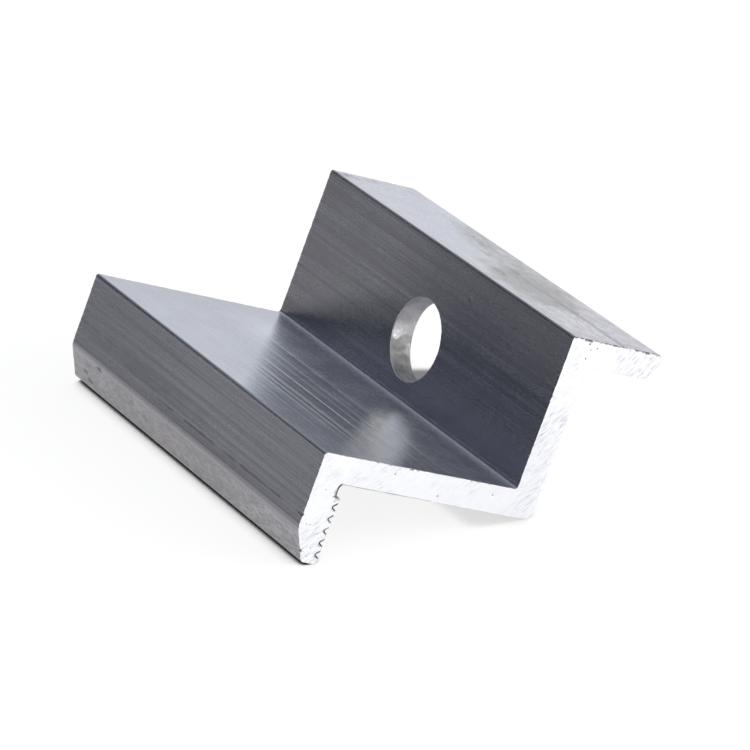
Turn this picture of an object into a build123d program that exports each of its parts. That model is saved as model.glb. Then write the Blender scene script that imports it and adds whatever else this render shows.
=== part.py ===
from build123d import *
import math
import os

# End clamp for a framed solar panel: one length of extruded aluminium section,
# sawn square at both ends, with one bolt hole drilled through the web.
#
# The section is drawn in its own plane, x across and z up, in millimetres:
#   x = 0 is the outer face of the lip, z = 0 is the channel side of the plate.
#   The lip hangs from one edge of the plate, the web stands on the other edge,
#   and the foot reaches outwards from the top of the web.
# The finished piece is then laid down as it rests on a table: on the rounded
# bottom of the lip and on the rounded corner where the plate meets the web.

# ---- driving dimensions -------------------------------------------------
length = 50.0            # sawn length along the extrusion

plate_t = 2.95           # plate thickness
lip_t = 3.0              # lip thickness above its serrated band
lip_grip_t = 3.5         # lip thickness over the crests of the serrations
lip_bottom = -11.4       # lowest point of the lip
lead_in_top = -8.0       # where the lip's outer face starts to slope in
lead_in_foot_x = 1.70    # where that slope would meet the lip's bottom

web_face = 23.3          # lip's outer face to the web's channel face
web_t = 2.85             # web thickness
foot_top = 16.45         # plate's channel face to the foot's outer face
foot_t = 2.8             # foot thickness
foot_tip = 34.55         # lip's outer face to the tip of the foot
foot_bevel_x = 33.47     # where the tip's bevel meets the foot's inner face
foot_bevel_z = 15.45     # where the tip's bevel meets the end of the foot

# serrations across the grip face of the lip
band_top = -4.25         # step from the relieved corner to the serrated band
groove_first = -5.34     # centre of the groove nearest the plate
groove_pitch = 1.26
groove_count = 5
groove_depth = 0.46
groove_mouth_up = 0.34   # groove centre to its mouth, on the plate's side
groove_mouth_down = 0.28  # groove centre to its mouth, on the tip's side
groove_root_r = 0.09

# roundings of the section
r_lip_top = 0.30         # lip's outer face to plate
r_channel = 0.35         # plate to web, inside the channel
r_foot_outer = 0.25      # web's channel face to the foot's outer face
r_foot_tip = 0.50        # foot's outer face to its tip
r_bevel_end = 0.30       # end of the bevel nearest the tip
r_bevel_root = 0.30      # bevel to the foot's inner face
r_foot_inner = 0.15      # foot to web, in the inside corner
r_heel = 0.90            # plate to web, outside corner
r_seat = 0.50            # plate to lip, inside corner
r_band = 0.15            # root of the step at the serrated band
r_tip_inner = 0.50       # lip's bottom to its grip face
r_tip_outer = 0.60       # lip's bottom to the lead-in slope
r_lead_in = 2.00         # lead-in slope to the lip's outer face

# bolt hole through the web
hole_r = 4.40
hole_z = 6.45            # height of its axis above the plate's channel face
hole_y = length / 2
hole_break_front = 0.12  # broken edge on the channel side
hole_break_back = 0.30   # broken edge on the other side


# ---- section ------------------------------------------------------------
def rounded_loop(corners):
    """Closed wire through (x, z, radius) corners, each rounded by its radius."""
    n = len(corners)
    cuts = []
    for i in range(n):
        x, z, r = corners[i]
        px, pz, _ = corners[i - 1]
        qx, qz, _ = corners[(i + 1) % n]
        ux, uz = px - x, pz - z
        vx, vz = qx - x, qz - z
        lu, lv = math.hypot(ux, uz), math.hypot(vx, vz)
        ux, uz, vx, vz = ux / lu, uz / lu, vx / lv, vz / lv
        if r <= 0:
            cuts.append(((x, z), None, (x, z)))
            continue
        half = math.acos(max(-1.0, min(1.0, ux * vx + uz * vz))) / 2
        setback = r / math.tan(half)
        bx, bz = ux + vx, uz + vz
        lb = math.hypot(bx, bz)
        reach = r / math.sin(half) - r
        cuts.append((
            (x + ux * setback, z + uz * setback),
            (x + bx / lb * reach, z + bz / lb * reach),
            (x + vx * setback, z + vz * setback),
        ))
    edges = []
    for i in range(n):
        start, middle, end = cuts[i]
        if middle is not None:
            edges.append(ThreePointArc(
                (start[0], 0, start[1]), (middle[0], 0, middle[1]), (end[0], 0, end[1])))
        nxt = cuts[(i + 1) % n][0]
        if math.hypot(nxt[0] - end[0], nxt[1] - end[1]) > 1e-6:
            edges.append(Line((end[0], 0, end[1]), (nxt[0], 0, nxt[1])))
    return Wire(edges)


corners = [
    (0.0, 0.0, r_lip_top),
    (web_face, 0.0, r_channel),
    (web_face, foot_top, r_foot_outer),
    (foot_tip, foot_top, r_foot_tip),
    (foot_tip, foot_bevel_z, r_bevel_end),
    (foot_bevel_x, foot_top - foot_t, r_bevel_root),
    (web_face + web_t, foot_top - foot_t, r_foot_inner),
    (web_face + web_t, -plate_t, r_heel),
    (lip_t, -plate_t, r_seat),
    (lip_t, band_top, r_band),
    (lip_grip_t, band_top - 0.06, 0.08),
]
groove_centres = [groove_first - groove_pitch * i for i in range(groove_count)]
for z in groove_centres:
    corners += [
        (lip_grip_t, z + groove_mouth_up, 0.0),
        (lip_grip_t - groove_depth, z, groove_root_r),
        (lip_grip_t, z - groove_mouth_down, 0.0),
    ]
corners += [
    (lip_grip_t, lip_bottom, r_tip_inner),
    (lead_in_foot_x, lip_bottom, r_tip_outer),
    (0.0, lead_in_top, r_lead_in),
]

section = Face(rounded_loop(corners))
clamp = extrude(section, amount=length, dir=(0, 1, 0))

# ---- bolt hole ----------------------------------------------------------
# drilled square to the web, with both edges broken
hole_frame = Plane(origin=(web_face, hole_y, hole_z), x_dir=(0, 1, 0), z_dir=(1, 0, 0))
drill = hole_frame * Pos(0, 0, web_t / 2) * Cylinder(hole_r, web_t + 4)
break_front = hole_frame * Pos(0, 0, hole_break_front / 2) * Cone(
    hole_r + hole_break_front, hole_r, hole_break_front)
break_back = hole_frame * Pos(0, 0, web_t - hole_break_back / 2) * Cone(
    hole_r, hole_r + hole_break_back, hole_break_back)
clamp = clamp - drill - break_front - break_back

# ---- resting position ---------------------------------------------------
# The two roundings that touch the table are arcs; the table is the line
# tangent to both, so the section turns by the angle that makes it level.
lip_arc = (lip_grip_t - r_tip_inner, lip_bottom + r_tip_inner)
heel_arc = (web_face + web_t - r_heel, -plate_t + r_heel)
dx, dz = heel_arc[0] - lip_arc[0], heel_arc[1] - lip_arc[1]
rest_angle = math.atan2(dz, dx) + math.asin((r_tip_inner - r_heel) / math.hypot(dx, dz))

clamp = clamp.rotate(Axis.Y, math.degrees(rest_angle))
box = clamp.bounding_box()
shift = (-(box.min.X + box.max.X) / 2, -(box.min.Y + box.max.Y) / 2, -box.min.Z)
clamp = clamp.moved(Location(shift))


def to_row(x, y, z):
    """A section point (x, y, z) in the finished piece's frame."""
    c, s = math.cos(rest_angle), math.sin(rest_angle)
    return (x * c + z * s + shift[0], y + shift[1], -x * s + z * c + shift[2])


def dir_row(x, z):
    c, s = math.cos(rest_angle), math.sin(rest_angle)
    return (x * c + z * s, 0.0, -x * s + z * c)


os.makedirs("parts", exist_ok=True)
solid = clamp.solids()[0]
solid.label = "end_clamp"
export_step(solid, "parts/end_clamp.step")

box = solid.bounding_box()
print("rest angle %.4f deg" % math.degrees(rest_angle))
print("shift %.5f %.5f %.5f mm" % shift)
print("box %.3f %.3f %.3f to %.3f %.3f %.3f" % (
    box.min.X, box.min.Y, box.min.Z, box.max.X, box.max.Y, box.max.Z))
print("volume %.1f mm3, solids %d, valid %s" % (solid.volume, len(clamp.solids()), solid.is_valid))
for name, p in (
    ("bore centre", to_row(web_face + web_t / 2, hole_y, hole_z)),
    ("bolt seat", to_row(web_face, hole_y + 8.0, hole_z)),
    ("panel side", to_row(14.0, hole_y, -plate_t)),
    ("grip land", to_row(lip_grip_t, hole_y, groove_first - groove_pitch / 2)),
    ("foot tip", to_row(foot_tip, hole_y, foot_bevel_z + 0.28)),
):
    print("%-12s %.4f %.4f %.4f" % ((name,) + p))
print("into the channel  %.6f %.6f %.6f" % dir_row(-1, 0))
print("out of plate      %.6f %.6f %.6f" % dir_row(0, -1))
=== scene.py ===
import math

import bpy
import numpy as np
from mathutils import Matrix, Vector
from mathutils.geometry import delaunay_2d_cdt


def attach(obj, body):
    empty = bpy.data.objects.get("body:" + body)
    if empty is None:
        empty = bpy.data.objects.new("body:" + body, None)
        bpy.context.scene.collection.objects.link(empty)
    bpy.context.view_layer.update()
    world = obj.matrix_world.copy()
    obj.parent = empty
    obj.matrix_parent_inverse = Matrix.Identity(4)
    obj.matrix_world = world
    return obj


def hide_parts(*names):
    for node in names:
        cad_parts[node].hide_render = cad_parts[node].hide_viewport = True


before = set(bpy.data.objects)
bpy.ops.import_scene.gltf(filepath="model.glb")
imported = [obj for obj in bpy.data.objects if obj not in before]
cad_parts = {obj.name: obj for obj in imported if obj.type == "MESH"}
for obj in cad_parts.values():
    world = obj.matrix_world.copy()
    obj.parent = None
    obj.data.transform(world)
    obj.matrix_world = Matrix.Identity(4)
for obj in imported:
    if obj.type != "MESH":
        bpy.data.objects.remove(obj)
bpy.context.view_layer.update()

MM = 0.001
rng = np.random.default_rng(20731)

# =============================================================================
# The section, in its own plane: x across, z up, in millimetres, y along.
# x = 0 is the lip's outer face, z = 0 the plate's channel face, y = 0 the near
# sawn end. These are the driving dimensions of the CAD source.
# =============================================================================
LENGTH = 50.0
PLATE_T, LIP_T, LIP_GRIP_T = 2.95, 3.0, 3.5
LIP_BOTTOM, LEAD_IN_TOP, LEAD_IN_FOOT_X = -11.4, -8.0, 1.70
WEB_FACE, WEB_T = 23.3, 2.85
FOOT_TOP, FOOT_T, FOOT_TIP = 16.45, 2.8, 34.55
FOOT_BEVEL_X, FOOT_BEVEL_Z = 33.47, 15.45
BAND_TOP, GROOVE_FIRST, GROOVE_PITCH, GROOVE_COUNT = -4.25, -5.34, 1.26, 5
GROOVE_DEPTH, MOUTH_UP, MOUTH_DOWN, ROOT_R = 0.46, 0.34, 0.28, 0.09
HOLE_R, HOLE_Y, HOLE_Z = 4.40, 25.0, 6.45
BREAK_FRONT, BREAK_BACK = 0.12, 0.30

# (x, z, rounding, name of the face that runs from this corner to the next)
CORNERS = [
    (0.0, 0.0, 0.30, "plate_top"),
    (WEB_FACE, 0.0, 0.35, "web_front"),
    (WEB_FACE, FOOT_TOP, 0.25, "foot_top"),
    (FOOT_TIP, FOOT_TOP, 0.50, "foot_end"),
    (FOOT_TIP, FOOT_BEVEL_Z, 0.30, "foot_bevel"),
    (FOOT_BEVEL_X, FOOT_TOP - FOOT_T, 0.30, "foot_under"),
    (WEB_FACE + WEB_T, FOOT_TOP - FOOT_T, 0.15, "web_back"),
    (WEB_FACE + WEB_T, -PLATE_T, 0.90, "plate_under"),
    (LIP_T, -PLATE_T, 0.50, "lip_relief"),
    (LIP_T, BAND_TOP, 0.15, "step"),
    (LIP_GRIP_T, BAND_TOP - 0.06, 0.08, "land"),
]
for i in range(GROOVE_COUNT):
    z = GROOVE_FIRST - GROOVE_PITCH * i
    CORNERS += [
        (LIP_GRIP_T, z + MOUTH_UP, 0.0, "groove"),
        (LIP_GRIP_T - GROOVE_DEPTH, z, ROOT_R, "groove"),
        (LIP_GRIP_T, z - MOUTH_DOWN, 0.0, "land"),
    ]
CORNERS += [
    (LIP_GRIP_T, LIP_BOTTOM, 0.50, "lip_bottom"),
    (LEAD_IN_FOOT_X, LIP_BOTTOM, 0.60, "lead_in"),
    (0.0, LEAD_IN_TOP, 2.00, "lip_outer"),
]

# how strongly each face carries the die's lines
LINED = {
    "plate_top": 0.8, "web_front": 0.08, "foot_top": 0.4, "foot_end": 0.7, "foot_bevel": 0.7,
    "foot_under": 1.0, "web_back": 1.1, "plate_under": 1.1, "lip_relief": 0.8, "step": 0.2,
    "land": 0.6, "groove": 0.1, "lip_bottom": 0.7, "lead_in": 0.7, "lip_outer": 0.30,
}
# spacing of the points along each face, against the usual spacing
SPACING = {"plate_top": 0.56, "plate_under": 1.35, "web_back": 1.35, "foot_under": 1.35}


def sample_section(step, turn):
    """Points, outward normals and line strength round the section."""
    n = len(CORNERS)
    cuts = []
    for i in range(n):
        x, z, r, _ = CORNERS[i]
        px, pz = CORNERS[i - 1][:2]
        qx, qz = CORNERS[(i + 1) % n][:2]
        u = np.array([px - x, pz - z]); u /= np.linalg.norm(u)
        v = np.array([qx - x, qz - z]); v /= np.linalg.norm(v)
        p = np.array([x, z])
        if r <= 0:
            cuts.append((p, None, p))
            continue
        half = math.acos(float(np.clip(u @ v, -1, 1))) / 2
        bis = (u + v) / np.linalg.norm(u + v)
        centre = p + bis * (r / math.sin(half))
        cuts.append((p + u * r / math.tan(half), (centre, r), p + v * r / math.tan(half)))
    pts, nrm, amp, face = [], [], [], []
    for i in range(n):
        start, arc, end = cuts[i]
        before, name = CORNERS[i - 1][3], CORNERS[i][3]
        a = 0.45 * min(LINED[before], LINED[name])
        run = cuts[(i + 1) % n][0] - end
        run_len = float(np.linalg.norm(run))
        t1 = run / run_len
        back = end if arc is None else start
        prev = back - cuts[i - 1][2]
        t0 = prev / np.linalg.norm(prev)
        if arc is None:
            m = np.array([-(t0 + t1)[1], (t0 + t1)[0]])
            pts.append(end); nrm.append(m / np.linalg.norm(m)); amp.append(0.0); face.append(name)
        else:
            (cx, cz), r = arc
            q0 = math.atan2(start[1] - cz, start[0] - cx)
            q1 = math.atan2(end[1] - cz, end[0] - cx)
            dq = (q1 - q0 + math.pi) % (2 * math.pi) - math.pi
            k = max(3, math.ceil(abs(dq) / turn), math.ceil(r * abs(dq) / step))
            for t in range(k + 1):
                q = q0 + dq * t / k
                o = np.array([math.cos(q), math.sin(q)])
                pts.append(np.array([cx, cz]) + r * o)
                # the loop runs clockwise, so a convex rounding turns clockwise
                nrm.append(o if dq < 0 else -o)
                amp.append(a); face.append(before if t < k / 2 else name)
        k = max(1, math.ceil(run_len / (step * SPACING.get(name, 1.0))))
        for t in range(1, k):
            pts.append(end + run * t / k)
            nrm.append(np.array([-t1[1], t1[0]]))
            amp.append(LINED[name]); face.append(name)
    return np.array(pts), np.array(nrm), np.array(amp), np.array(face)


P, NRM, AMP, FACE = sample_section(0.052, math.radians(8))
COARSE = sample_section(1e3, math.radians(15))[0]
# the plate is smoother towards the web
AMP = np.where(FACE == "plate_top", AMP * (0.45 + 0.75 * np.clip((17.0 - P[:, 0]) / 9.0, 0, 1)), AMP)
COUNT = len(P)
seg = np.linalg.norm(np.roll(P, -1, 0) - P, axis=1)
ARC = np.concatenate([[0.0], np.cumsum(seg)[:-1]])
AROUND = float(seg.sum())

# rest position: the table is tangent to the lip's bottom and the heel
lip_arc = np.array([LIP_GRIP_T - 0.50, LIP_BOTTOM + 0.50])
heel_arc = np.array([WEB_FACE + WEB_T - 0.90, -PLATE_T + 0.90])
d = heel_arc - lip_arc
REST = math.atan2(d[1], d[0]) + math.asin((0.50 - 0.90) / math.hypot(*d))
COS, SIN = math.cos(REST), math.sin(REST)
rx = P[:, 0] * COS + P[:, 1] * SIN
rz = -P[:, 0] * SIN + P[:, 1] * COS
SHIFT = np.array([-(rx.min() + rx.max()) / 2, -LENGTH / 2, -rz.min()])


def to_row(p):
    """Section points (x, y, z) in mm to the row frame in metres."""
    p = np.asarray(p, float)
    return np.stack([
        p[:, 0] * COS + p[:, 2] * SIN + SHIFT[0],
        p[:, 1] + SHIFT[1],
        -p[:, 0] * SIN + p[:, 2] * COS + SHIFT[2],
    ], 1) * MM


# =============================================================================
# Relief of the extruded faces: lines drawn by the die, always below the true
# surface, so that no vertex leaves the CAD section.
# =============================================================================
def smooth_noise(width):
    """Unit noise round the section with features about width mm wide."""
    w = rng.normal(size=COUNT)
    k = np.fft.rfftfreq(COUNT, d=AROUND / COUNT)
    spec = np.fft.rfft(w) * np.exp(-(k * width) ** 2 * 2.0)
    out = np.fft.irfft(spec, COUNT)
    return out / out.std()


def die_lines():
    """Depth of the die's lines round the section: a fine grain, broader
    ripples, and single deeper lines, some alone and some in bundles."""
    h = (0.00030 * smooth_noise(0.07) + 0.0009 * smooth_noise(0.13)
         + 0.0018 * smooth_noise(0.32) + 0.0032 * smooth_noise(1.6))
    h = np.clip(h - h.min(), 0, 0.03)
    busy = np.clip(0.5 + 0.6 * smooth_noise(2.5), 0.05, 1.5)
    for _ in range(420):
        at = rng.uniform(0, AROUND)
        w, depth, keep = rng.uniform(0.035, 0.085), rng.uniform(0.001, 0.0065), rng.uniform(0, 1.2)
        if keep > busy[int(at / AROUND * COUNT) % COUNT]:
            continue
        dist = np.abs((ARC - at + AROUND / 2) % AROUND - AROUND / 2)
        h = h + depth * np.exp(-(dist / w) ** 2)
    return h


LINES_A, LINES_B = die_lines(), die_lines()

# single steep lines on the plate's channel face: x, depth, half width
g = np.random.default_rng(12)
SCRATCHES = [(3.62, 0.020, 0.060), (4.80, 0.016, 0.055), (5.60, 0.026, 0.065), (6.62, 0.030, 0.068), (7.62, 0.042, 0.078), (8.05, 0.014, 0.05),
             (9.92, 0.040, 0.078), (10.35, 0.014, 0.05), (11.60, 0.024, 0.062), (12.80, 0.028, 0.065), (15.35, 0.030, 0.070), (15.80, 0.013, 0.05)]
SCRATCHES += [(g.uniform(2.2, 14.5), g.uniform(0.006, 0.015), g.uniform(0.040, 0.055)) for _ in range(26)]
SCRATCHES += [(g.uniform(14.5, 22.0), g.uniform(0.003, 0.008), g.uniform(0.038, 0.050)) for _ in range(12)]
STEEP = np.zeros(COUNT)
PAINTED_GLINT, DARK = np.zeros(COUNT), np.zeros(COUNT)
# each scratch is cut into the relief and also gets a pale painted glint
for at, depth, w in SCRATCHES:
    STEEP += depth * np.exp(-((P[:, 0] - at) / w) ** 2)
    PAINTED_GLINT = np.maximum(PAINTED_GLINT, min(1.0, depth / 0.032) * np.exp(-((P[:, 0] - at) / (w * 1.25)) ** 2))
# darker lines between them: x, strength, half width
SHADES = [(1.45, 0.5, 0.10), (2.65, 0.6, 0.12), (4.20, 0.8, 0.10), (5.20, 0.8, 0.12), (6.15, 0.9, 0.14), (7.10, 1.0, 0.15),
          (8.55, 0.8, 0.22), (9.30, 0.7, 0.18), (10.70, 0.6, 0.12), (12.10, 0.5, 0.12), (14.60, 0.4, 0.14), (16.60, 0.4, 0.14)]
SHADES += [(g.uniform(1.0, 15.0), g.uniform(0.25, 0.7), g.uniform(0.04, 0.08)) for _ in range(16)]
for at, k, w in SHADES:
    DARK = np.maximum(DARK, k * np.exp(-((P[:, 0] - at) / w) ** 2))
STEEP = np.where(FACE == "plate_top", STEEP, 0.0)
LINE_TONE_AND_GLINT = np.where(FACE == "plate_top", PAINTED_GLINT - DARK * (1 - PAINTED_GLINT), 0.0)

# rows of vertices along the length, closer at the sawn ends
ends = [0.0, 0.035, 0.10, 0.25, 0.6]
YS = np.array(ends + list(np.linspace(3.2, LENGTH - 3.2, 9)) + [LENGTH - e for e in reversed(ends)])
ROWS = len(YS)


def saw_relief(x, z, centre, seed, depth):
    """Depth of the saw's marks below the sawn plane: arcs about a centre."""
    g = np.random.default_rng(seed)
    r = np.hypot(x - centre[0], z - centre[1])
    h = np.zeros_like(r)
    for wave, share in ((0.21, 0.30), (0.34, 0.5), (0.55, 0.6), (0.93, 0.8), (1.9, 0.9)):
        ph = g.uniform(0, 6.283, 3)
        wob = 0.5 + 0.5 * np.sin(r / (wave * 3.7) * 6.283 + ph[1])
        h += share * (0.5 + 0.5 * np.sin(r / wave * 6.283 + ph[0] + 1.3 * np.sin(r / (wave * 5.1) * 6.283 + ph[2]))) * (0.35 + 0.65 * wob)
    return depth * h / 2.0


SAW_NEAR, SAW_FAR = (-67.0, 71.0), (-58.0, 78.0)
# small pits and torn spots of the near sawn end: x, z, radius, depth, how dark
PITS = [
    (25.45, 16.00, 0.13, 0.06, 0.7), (25.55, 14.45, 0.10, 0.05, 0.6), (26.50, 15.70, 0.11, 0.05, 0.6),
    (25.80, 15.45, 0.09, 0.04, 0.5), (8.70, -0.90, 0.11, 0.05, 0.6), (14.40, -2.25, 0.12, 0.05, 0.6),
    (20.70, -1.10, 0.10, 0.05, 0.5), (0.75, -7.50, 0.08, 0.04, 0.6), (1.20, -7.55, 0.07, 0.04, 0.5),
    (1.55, -3.75, 0.08, 0.04, 0.5), (3.05, -4.75, 0.08, 0.04, 0.6), (2.05, -10.75, 0.09, 0.04, 0.5),
    (2.20, -9.85, 0.08, 0.04, 0.5),
]


def pit_relief(x, z, pits):
    h = np.zeros_like(x); dark = np.zeros_like(x)
    for px, pz, r, depth, k in pits:
        q = np.clip(1 - ((x - px) ** 2 + (z - pz) ** 2) / r ** 2, 0, 1)
        h = np.maximum(h, depth * q ** 1.5)
        dark = np.maximum(dark, k * np.minimum(1, 2 * q))
    return h, dark


def cap(centre, seed, depth, pits):
    """Points and triangles of a sawn end, its outline the section's points."""
    inside = Polygon(COARSE)
    extra, edges = [], []
    r0 = np.hypot(*(P - centre).T)
    lo, hi = r0.min(), r0.max()
    g = np.random.default_rng(seed)
    r = lo + 0.05
    while r < hi:
        span = 0.36 / r
        q = -math.pi / 2 + np.arange(0, math.pi / 2 + span, span) + g.uniform(0, span)
        pts = np.stack([centre[0] + r * np.cos(q), centre[1] + r * np.sin(q)], 1)
        ok = inside.clear(pts, 0.07)
        for px, pz, pr, _, _ in pits:
            ok &= np.hypot(pts[:, 0] - px, pts[:, 1] - pz) > pr + 0.03
        last = None
        for k in range(len(pts)):
            if not ok[k]:
                last = None
                continue
            extra.append(pts[k])
            if last is not None:
                edges.append((last, COUNT + len(extra) - 1))
            last = COUNT + len(extra) - 1
        r += g.uniform(0.10, 0.16)
    for px, pz, pr, _, _ in pits:
        for share, m in ((0.0, 1), (0.4, 8), (0.75, 12), (1.0, 16)):
            for k in range(m):
                a = 6.283 * k / m + share
                p = np.array([[px + pr * share * math.cos(a), pz + pr * share * math.sin(a)]])
                if inside.clear(p, 0.03)[0]:
                    extra.append(p[0])
    # two rows that follow the outline where its burr and painted shade are drawn
    if pits:
        for gap in (0.062, 0.11, 0.17):
            q = P - NRM * gap
            q = q[(RIM > 0.05) & inside.clear(q, gap - 0.006)]
            extra += list(q)
    pts = np.concatenate([P, np.array(extra)])
    out_v, _, out_f, ids, _, _ = delaunay_2d_cdt(
        [Vector((float(a), float(b))) for a, b in pts], edges,
        [list(range(COUNT - 1, -1, -1))], 1, 1e-7)
    back = {}
    for k, src in enumerate(ids):
        back[k] = src[0] if src else None
    if any(v is None for v in back.values()):
        raise RuntimeError("the sawn end's mesh made points of its own")
    tris = [[back[k] for k in f] for f in out_f]
    return pts, tris


class Polygon:
    """Tests points against an outline."""

    def __init__(self, p):
        self.a, self.b = p, np.roll(p, -1, 0)

    def clear(self, q, gap):
        """Which points lie inside the outline and further than gap from it."""
        q = np.asarray(q, float)
        out = np.zeros(len(q), bool)
        near = ((q > self.a.min(0)) & (q < self.a.max(0))).all(1)
        if not near.any():
            return out
        a, b, p = self.a[None], self.b[None], q[near][:, None]
        cond = (a[..., 1] > p[..., 1]) != (b[..., 1] > p[..., 1])
        with np.errstate(divide="ignore", invalid="ignore"):
            xi = a[..., 0] + (p[..., 1] - a[..., 1]) * (b[..., 0] - a[..., 0]) / (b[..., 1] - a[..., 1])
        inside = (np.where(cond, p[..., 0] < xi, False).sum(1) % 2) == 1
        ab = b - a
        t = np.clip(((p - a) * ab).sum(-1) / np.maximum((ab ** 2).sum(-1), 1e-12), 0, 1)
        dist = np.sqrt(((p - a - ab * t[..., None]) ** 2).sum(-1)).min(1)
        out[near] = inside & (dist > gap)
        return out


# unevenness of the sawn edges: a small broken edge, torn here and there
def edge_noise(seed, width):
    g = np.random.default_rng(seed)
    w = g.normal(size=COUNT)
    k = np.fft.rfftfreq(COUNT, d=AROUND / COUNT)
    out = np.fft.irfft(np.fft.rfft(w) * np.exp(-(k * width) ** 2 * 2.0), COUNT)
    return out / out.std()


def edge_of(seed, tears):
    """For one sawn end, by outline point: how far its edge is broken, and torn."""
    brk = 0.016 + 0.010 * np.clip(edge_noise(seed, 0.5), -1, 2) + 0.006 * np.clip(edge_noise(seed + 1, 0.12), -1, 2)
    torn = np.zeros(COUNT)
    for x, z, r, depth in tears:
        dist = np.hypot(P[:, 0] - x, P[:, 1] - z)
        torn = np.maximum(torn, depth * np.clip(1 - (dist / r) ** 2, 0, 1))
    return np.clip(brk, 0.004, 0.06), torn


g = np.random.default_rng(77)
near_tears = [
    (10.4, 0.0, 0.26, 0.16), (23.35, 10.0, 0.14, 0.08), (0.0, -6.65, 0.18, 0.10), (1.2, -10.25, 0.20, 0.10),
]
near_tears += [(x, FOOT_TOP, g.uniform(0.05, 0.15), g.uniform(0.02, 0.08)) for x in g.uniform(23.9, 34.0, 24)]
near_tears += [(g.uniform(1, 23), 0.0, g.uniform(0.06, 0.12), g.uniform(0.02, 0.06)) for _ in range(14)]
far_tears = [(g.uniform(1, 23), 0.0, g.uniform(0.06, 0.14), g.uniform(0.02, 0.07)) for _ in range(16)]
far_tears += [(g.uniform(24, 34), FOOT_TOP, g.uniform(0.06, 0.14), g.uniform(0.02, 0.07)) for _ in range(10)]
BRK_N, TORN_N = edge_of(5, near_tears)
BRK_F, TORN_F = edge_of(9, far_tears)

# a dark burr line along the foot's outer face, broken in places
BURR_N = np.where(FACE == "foot_top", np.clip(0.72 + 0.42 * edge_noise(21, 0.30), 0, 1), 0.0)

# painted shade: the two convex edges seen from the channel are painted dark along the part that reflects dark
# surroundings, and the channel's inside corner is painted a little darker
EDGE_DARK = np.zeros(COUNT)
for cx, cz, r, centre, half, most_dark in (
        (0.30, -0.30, 0.30, 125.0, 24.0, 0.60), (WEB_FACE + 0.25, FOOT_TOP - 0.25, 0.25, 122.0, 30.0, 0.75),
        (WEB_FACE - 0.35, 0.35, 0.35, -50.0, 45.0, 0.16)):
    q = np.hypot(P[:, 0] - cx, P[:, 1] - cz)
    turned = np.degrees(np.arctan2(P[:, 1] - cz, P[:, 0] - cx))
    on = (np.abs(q - r) < 0.02) * np.exp(-((turned - centre) / half) ** 2)
    EDGE_DARK = np.maximum(EDGE_DARK, on * most_dark)

# outline of the near sawn end: burr, and painted shade along the edges that face away
RIM = np.zeros(COUNT)
for name, k in (("lip_relief", 0.95), ("step", 0.8), ("groove", 0.85), ("land", 0.25), ("lip_bottom", 0.25),
                ("plate_under", 0.40), ("web_back", 0.27), ("foot_under", 0.30), ("foot_bevel", 0.55), ("foot_end", 0.55)):
    RIM = np.where(FACE == name, k, RIM)
RIM = np.where(FACE == "groove", 0.97, RIM)
RIM = np.where(FACE == "plate_under", 0.97 - 0.60 * np.clip((P[:, 0] - 9.0) / 12.0, 0, 1), RIM)
RIM = np.clip(RIM * (0.88 + 0.22 * edge_noise(41, 0.6)), 0, 1)
WIDE_RIM = np.select([(FACE == "plate_under") & (P[:, 0] < 14), (FACE == "lip_relief") | (FACE == "step"), FACE == "groove"], [0.10, 0.24, 0.19], 0.062)


def edge_burr_and_shade(q):
    """How dark the burr and the painted shade make points of the near sawn end, by their distance from the outline."""
    out = np.zeros(len(q))
    for k in range(0, len(q), 1000):
        dist = np.hypot(q[k:k + 1000, None, 0] - P[None, :, 0], q[k:k + 1000, None, 1] - P[None, :, 1])
        out[k:k + 1000] = (RIM[None] * np.clip((WIDE_RIM[None] - dist) / 0.06, 0, 1)).max(1)
    return out


near_h = saw_relief(P[:, 0], P[:, 1], SAW_NEAR, 3, 0.012)
far_h = saw_relief(P[:, 0], P[:, 1], SAW_FAR, 4, 0.012)

# lines of the lip's outer face: z, tone, half width, where they end
LIP_LINES = [(-5.62, -1.25, 0.07, 15.0), (-4.88, -0.75, 0.10, 19.0), (-6.22, -0.70, 0.09, 24.0), (-5.98, -0.5, 0.05, 12.0),
             (-3.10, -0.70, 0.22, 9.0), (-0.95, -0.60, 0.20, 22.0), (-2.05, -0.35, 0.12, 50.0), (-3.95, -0.40, 0.12, 50.0),
             (-6.95, 0.35, 0.12, 30.0), (-4.40, 0.30, 0.12, 26.0), (-1.50, 0.25, 0.12, 34.0), (-2.55, 0.25, 0.10, 18.0)]
on_outer = FACE == "lip_outer"

rings = np.zeros((ROWS, COUNT, 3))
tone_rows = np.zeros((ROWS, COUNT))
for j, y in enumerate(YS):
    w = 0.5 - 0.5 * math.cos(math.pi * min(1, max(0, y / LENGTH)))
    h = LINES_A * (1 - w) + LINES_B * w
    fade = np.clip(1.0 - (y - (18.0 + 1.30 * P[:, 0])) / 7.0, 0.10, 1.0)
    h = h * AMP + STEEP * (0.15 + 0.85 * min(1.0, y / 9.0)) * fade
    # the lines' tone and painted glint are weaker by the near end and fade beyond a slant across the plate
    tone_rows[j] = LINE_TONE_AND_GLINT * (0.35 + 0.65 * min(1.0, y / 9.0)) * fade
    for z, k, w, stop in LIP_LINES:
        tone_rows[j] += np.where(on_outer, k * np.exp(-((P[:, 1] - z) / w) ** 2) * np.clip((stop + 4.0 - y) / 8.0, 0.12, 1.0), 0.0)
    yy = np.full(COUNT, y)
    e0, e1 = y, LENGTH - y
    if e0 < 1.0:
        k = math.exp(-e0 / 0.10)
        h = h + BRK_N * max(0.0, 1 - e0 / 0.06) + TORN_N * 0.45 * k
        yy = yy + (near_h * max(0.0, 1 - e0 / 0.06)) + TORN_N * k
    if e1 < 1.0:
        k = math.exp(-e1 / 0.10)
        h = h + BRK_F * max(0.0, 1 - e1 / 0.06) + TORN_F * 0.45 * k
        yy = yy - (far_h * max(0.0, 1 - e1 / 0.06)) - TORN_F * k
    rings[j, :, 0] = P[:, 0] - NRM[:, 0] * h
    rings[j, :, 1] = yy
    rings[j, :, 2] = P[:, 1] - NRM[:, 1] * h

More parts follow.
